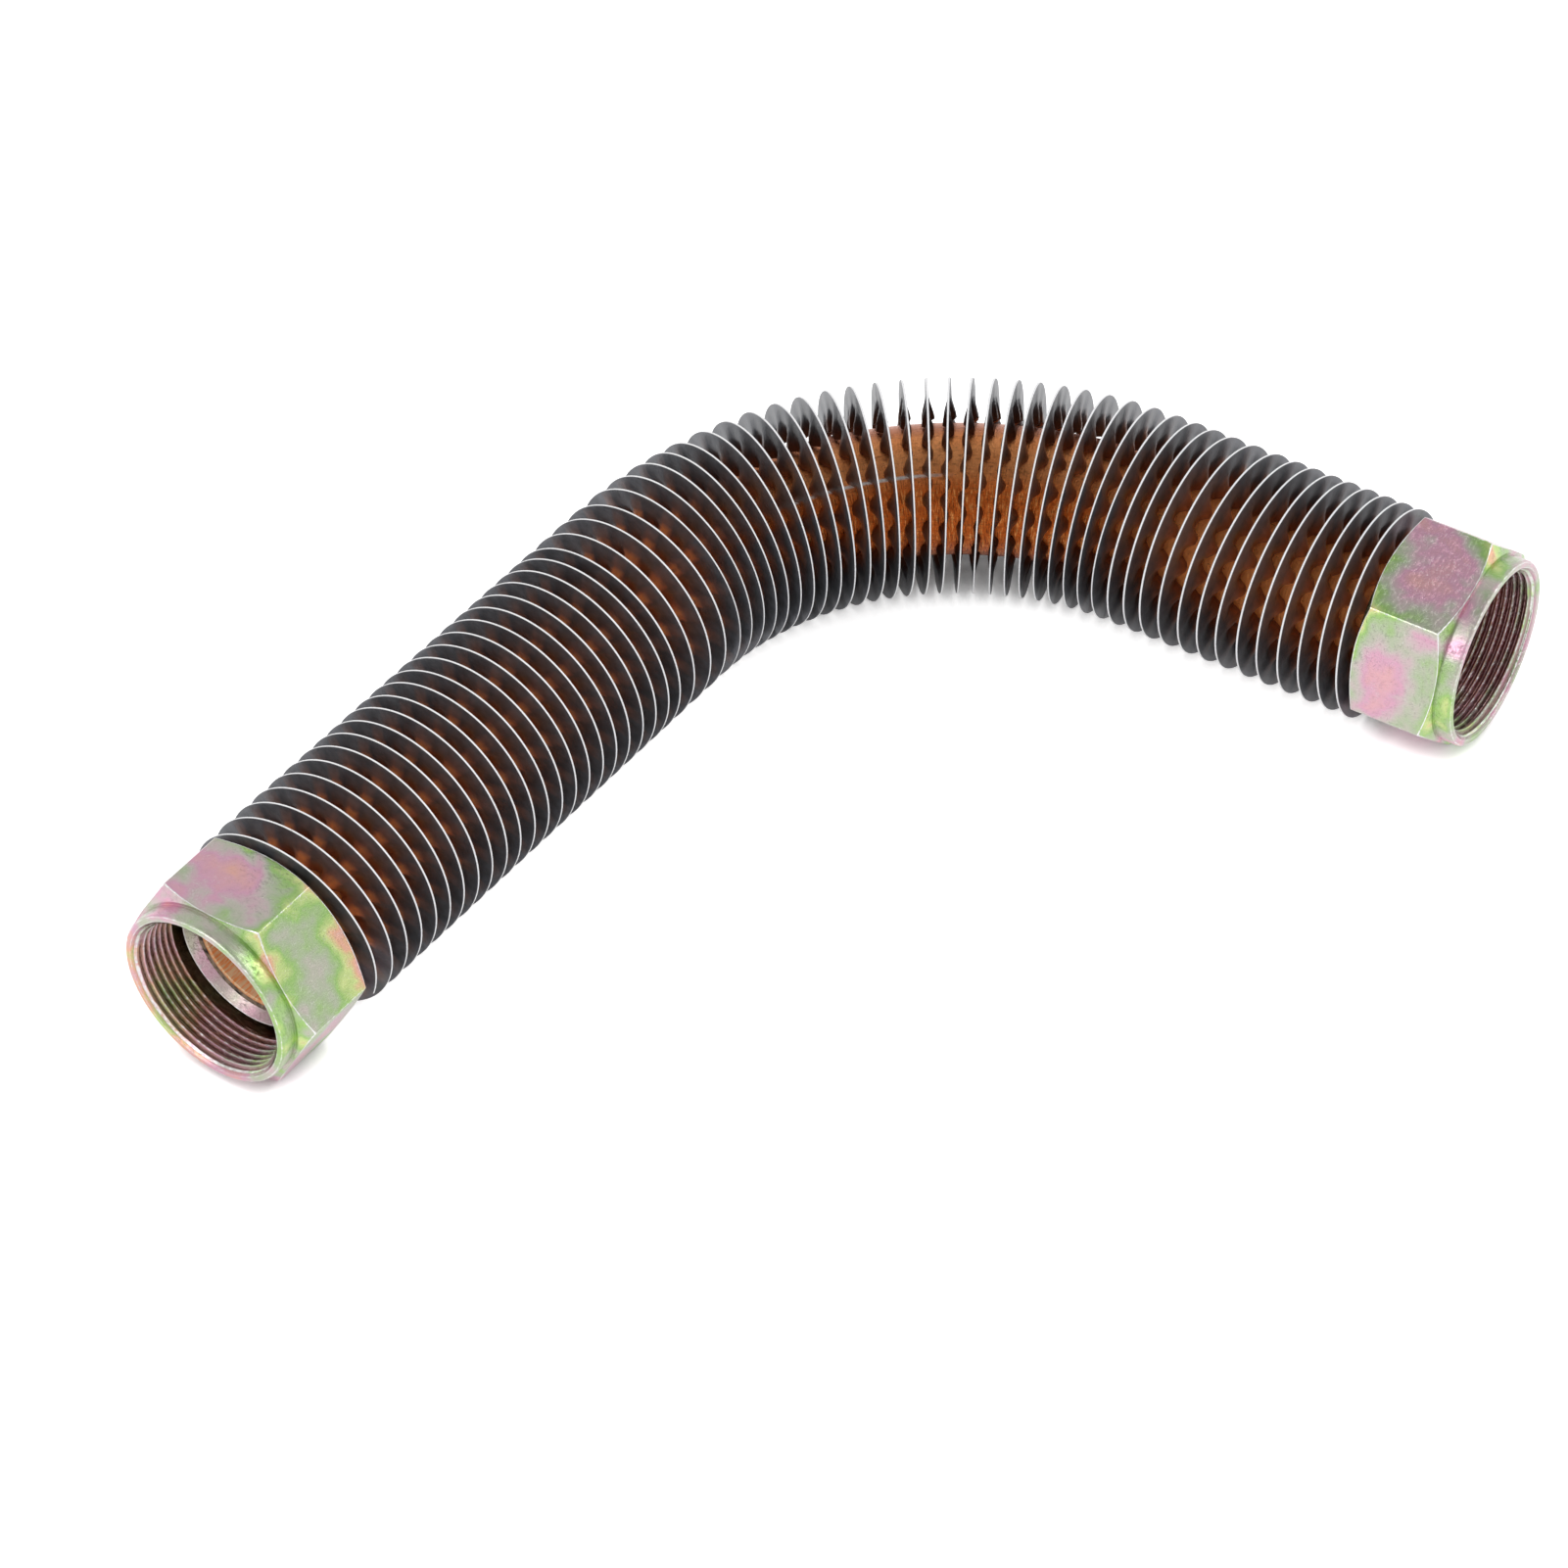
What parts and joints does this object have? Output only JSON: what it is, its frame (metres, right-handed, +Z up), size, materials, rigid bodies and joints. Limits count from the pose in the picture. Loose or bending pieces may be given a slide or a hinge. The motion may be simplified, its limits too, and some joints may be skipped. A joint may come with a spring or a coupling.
{
  "type": "air compressor discharge pipe",
  "caption": "Rigid bent copper discharge pipe of an air compressor, with a crimped cooling fin wound round it and a free-turning union nut at each end.",
  "frame": {"origin": "under the middle of the pipe's box, on the surface that it lies on", "axes": "+X along the left leg, from the left nut to the bend, +Z up; the bend turns right, towards -Y"},
  "size_m": [0.229, 0.1602, 0.0422],
  "materials": {
    "copper": "satin",
    "fin": "satin",
    "zinc": "satin",
    "braze": "matte"
  },
  "bodies": {
    "pipe": {"copper_tube": "copper", "fin_strip": "fin", "left_ferrule": "zinc", "left_braze_ring": "braze", "right_ferrule": "zinc", "right_braze_ring": "braze"},
    "left_nut": {"left_union_nut": "zinc"},
    "right_nut": {"right_union_nut": "zinc"}
  },
  "joints": [
    {"name": "left_nut_spin", "type": "hinge", "parent": "pipe", "child": "left_nut", "pos_m": [-0.11455, 0.05821, 0.0202], "axis": [1, 0, 0], "continuous": true},
    {"name": "right_nut_spin", "type": "hinge", "parent": "pipe", "child": "right_nut", "pos_m": [0.09401, -0.07808, 0.02112], "axis": [-0.1149, 0.9934, 0], "continuous": true}
  ]
}
